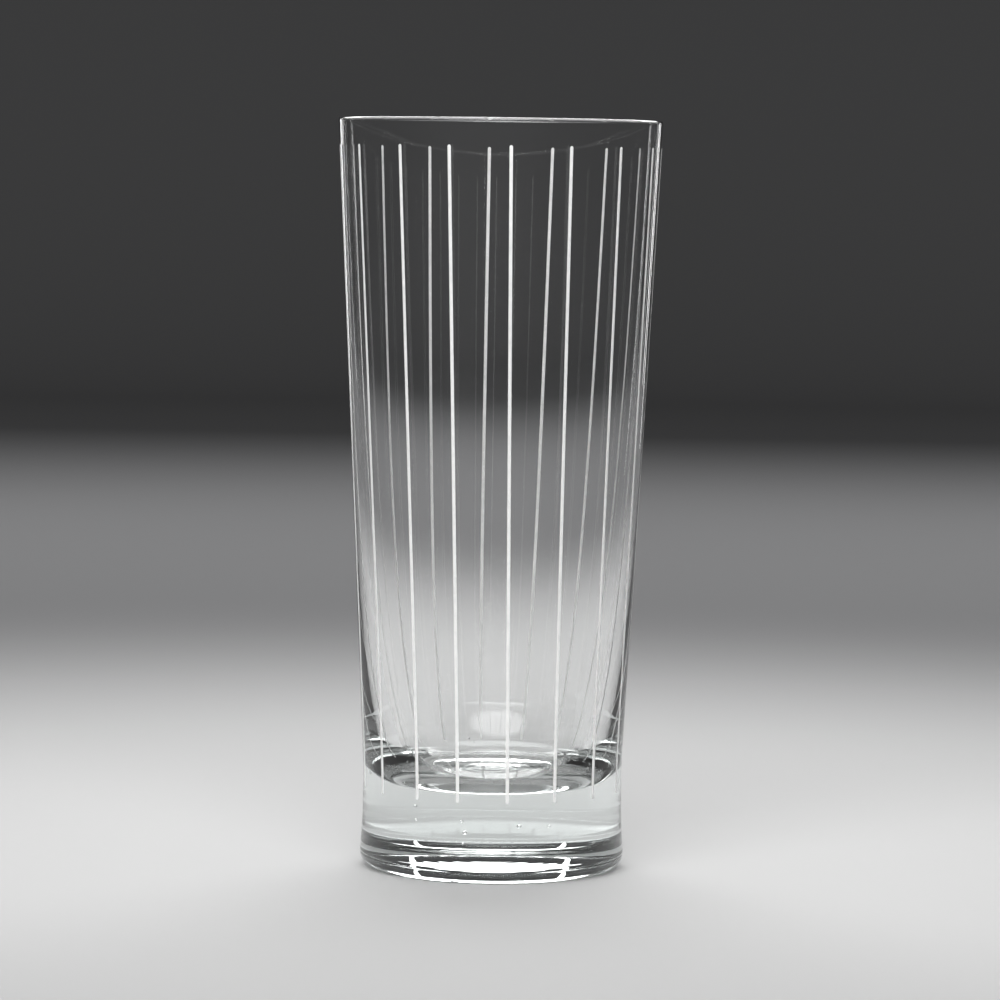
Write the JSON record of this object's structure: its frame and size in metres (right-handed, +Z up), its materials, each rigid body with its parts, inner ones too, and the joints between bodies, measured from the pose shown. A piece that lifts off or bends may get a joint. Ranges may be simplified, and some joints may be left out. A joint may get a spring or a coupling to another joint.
{
  "type": "highball glass",
  "caption": "Tall tapered drinking glass with a thick clear base, a slim waist above the foot and fine upright white enamel lines round the wall.",
  "frame": {"origin": "centre of the resting ring, on the table", "axes": "+Z up along the glass's axis, -Y towards the viewer in the picture's view"},
  "size_m": [0.067, 0.067, 0.155],
  "materials": {
    "clear_glass": "clear colourless soda-lime glass, fire-polished",
    "white_enamel": "fired-on opaque white enamel, satin"
  },
  "bodies": {
    "root": {"glass_body": "clear_glass", "enamel_line_01": "white_enamel", "enamel_line_02": "white_enamel", "enamel_line_03": "white_enamel", "enamel_line_04": "white_enamel", "enamel_line_05": "white_enamel", "enamel_line_06": "white_enamel", "enamel_line_07": "white_enamel", "enamel_line_08": "white_enamel", "enamel_line_09": "white_enamel", "enamel_line_10": "white_enamel", "enamel_line_11": "white_enamel", "enamel_line_12": "white_enamel", "enamel_line_13": "white_enamel", "enamel_line_14": "white_enamel", "enamel_line_15": "white_enamel", "enamel_line_16": "white_enamel"}
  },
  "joints": []
}
